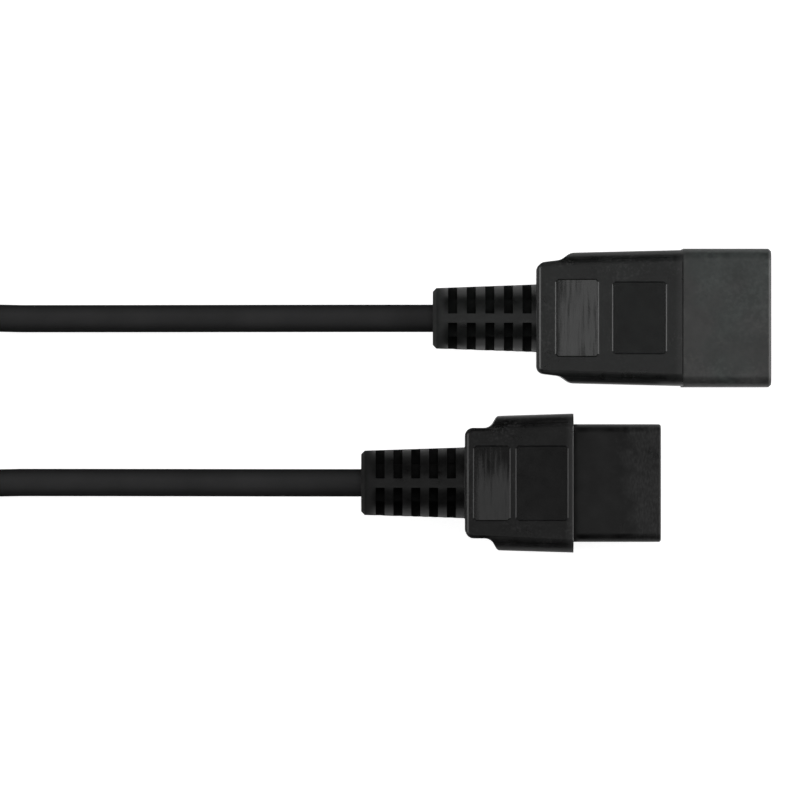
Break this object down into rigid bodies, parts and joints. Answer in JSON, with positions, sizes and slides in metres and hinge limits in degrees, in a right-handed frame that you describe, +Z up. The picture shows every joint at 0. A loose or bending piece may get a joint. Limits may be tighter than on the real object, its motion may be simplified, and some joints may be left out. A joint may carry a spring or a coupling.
{
  "type": "c19 power connector lead",
  "caption": "Moulded C19 connector with a ribbed strain relief, on a round cord that ends in a C20 plug with a hard shroud round its pins.",
  "frame": {"origin": "on the floor, under the middle of the C19 connector's own length and width", "axes": "+X out of the C19 nose along its axis, +Y towards the C20 plug that lies beside it, +Z up from the floor"},
  "size_m": [0.2983, 0.1003, 0.0242],
  "materials": {
    "grip_pvc": "semi-gloss moulded PVC",
    "nose_plastic": "satin",
    "shroud_plastic": "matte hard plastic",
    "cord_jacket": "smooth PVC jacket",
    "tie_rubber": "matte",
    "contact_metal": "folded sheet",
    "pin_metal": "nickel-plated",
    "copper": "bare copper",
    "core_line": "brown core",
    "core_neutral": "blue core",
    "core_earth": "green core with a yellow stripe"
  },
  "bodies": {
    "root": {"c19_overmould": "grip_pvc", "c19_contact_carrier": "nose_plastic", "c19_contact_line": "contact_metal", "c19_contact_neutral": "contact_metal", "c19_contact_earth": "contact_metal", "c19_core_line": "core_line", "c19_core_neutral": "core_neutral", "c19_core_earth": "core_earth", "c19_conductor_line": "copper", "c19_conductor_neutral": "copper", "c19_conductor_earth": "copper", "c20_overmould": "grip_pvc", "c20_shroud": "shroud_plastic", "c20_pin_line": "pin_metal", "c20_pin_neutral": "pin_metal", "c20_pin_earth": "pin_metal", "c20_core_line": "core_line", "c20_core_neutral": "core_neutral", "c20_core_earth": "core_earth", "c20_conductor_line": "copper", "c20_conductor_neutral": "copper", "c20_conductor_earth": "copper", "cord_tube_c19": "cord_jacket", "cord_tube_c20": "cord_jacket", "cord_coil": "cord_jacket", "cord_tie": "tie_rubber"}
  },
  "joints": []
}
